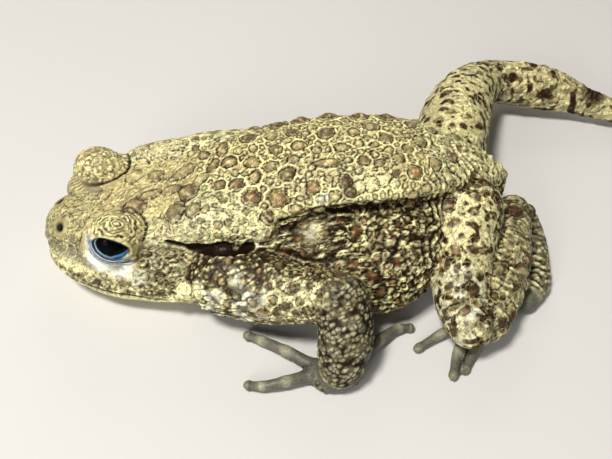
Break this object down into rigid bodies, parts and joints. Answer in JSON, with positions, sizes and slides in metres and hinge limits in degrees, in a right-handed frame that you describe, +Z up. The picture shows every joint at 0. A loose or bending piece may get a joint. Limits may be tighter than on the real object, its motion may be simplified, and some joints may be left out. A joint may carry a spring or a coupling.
{
  "type": "common toad",
  "caption": "Warty brown toad sitting low with one hind leg folded and the other stretched out behind, as a still life-size model.",
  "frame": {"origin": "centre of the bounding box, on the floor that the toad rests on", "axes": "+Z up, -X the way the head points, +X along the stretched right hind leg, -Y the toad's left side"},
  "size_m": [0.207, 0.1194, 0.0352],
  "materials": {
    "toad_skin": "moist matt skin",
    "gland": "moist matt skin with pores",
    "foot_skin": "smooth moist skin",
    "eye": "glossy wet eye"
  },
  "bodies": {
    "root": {"head": "toad_skin", "lower_jaw": "toad_skin", "torso": "toad_skin", "eye_left": "eye", "eye_right": "eye", "parotoid_gland_left": "gland", "parotoid_gland_right": "gland", "upper_arm_left": "toad_skin", "upper_arm_right": "toad_skin", "forearm_left": "toad_skin", "forearm_right": "toad_skin", "hand_left": "foot_skin", "hand_right": "foot_skin", "thigh_left": "toad_skin", "thigh_right": "toad_skin", "shank_left": "toad_skin", "shank_right": "toad_skin", "foot_left": "foot_skin", "foot_right": "foot_skin"}
  },
  "joints": []
}
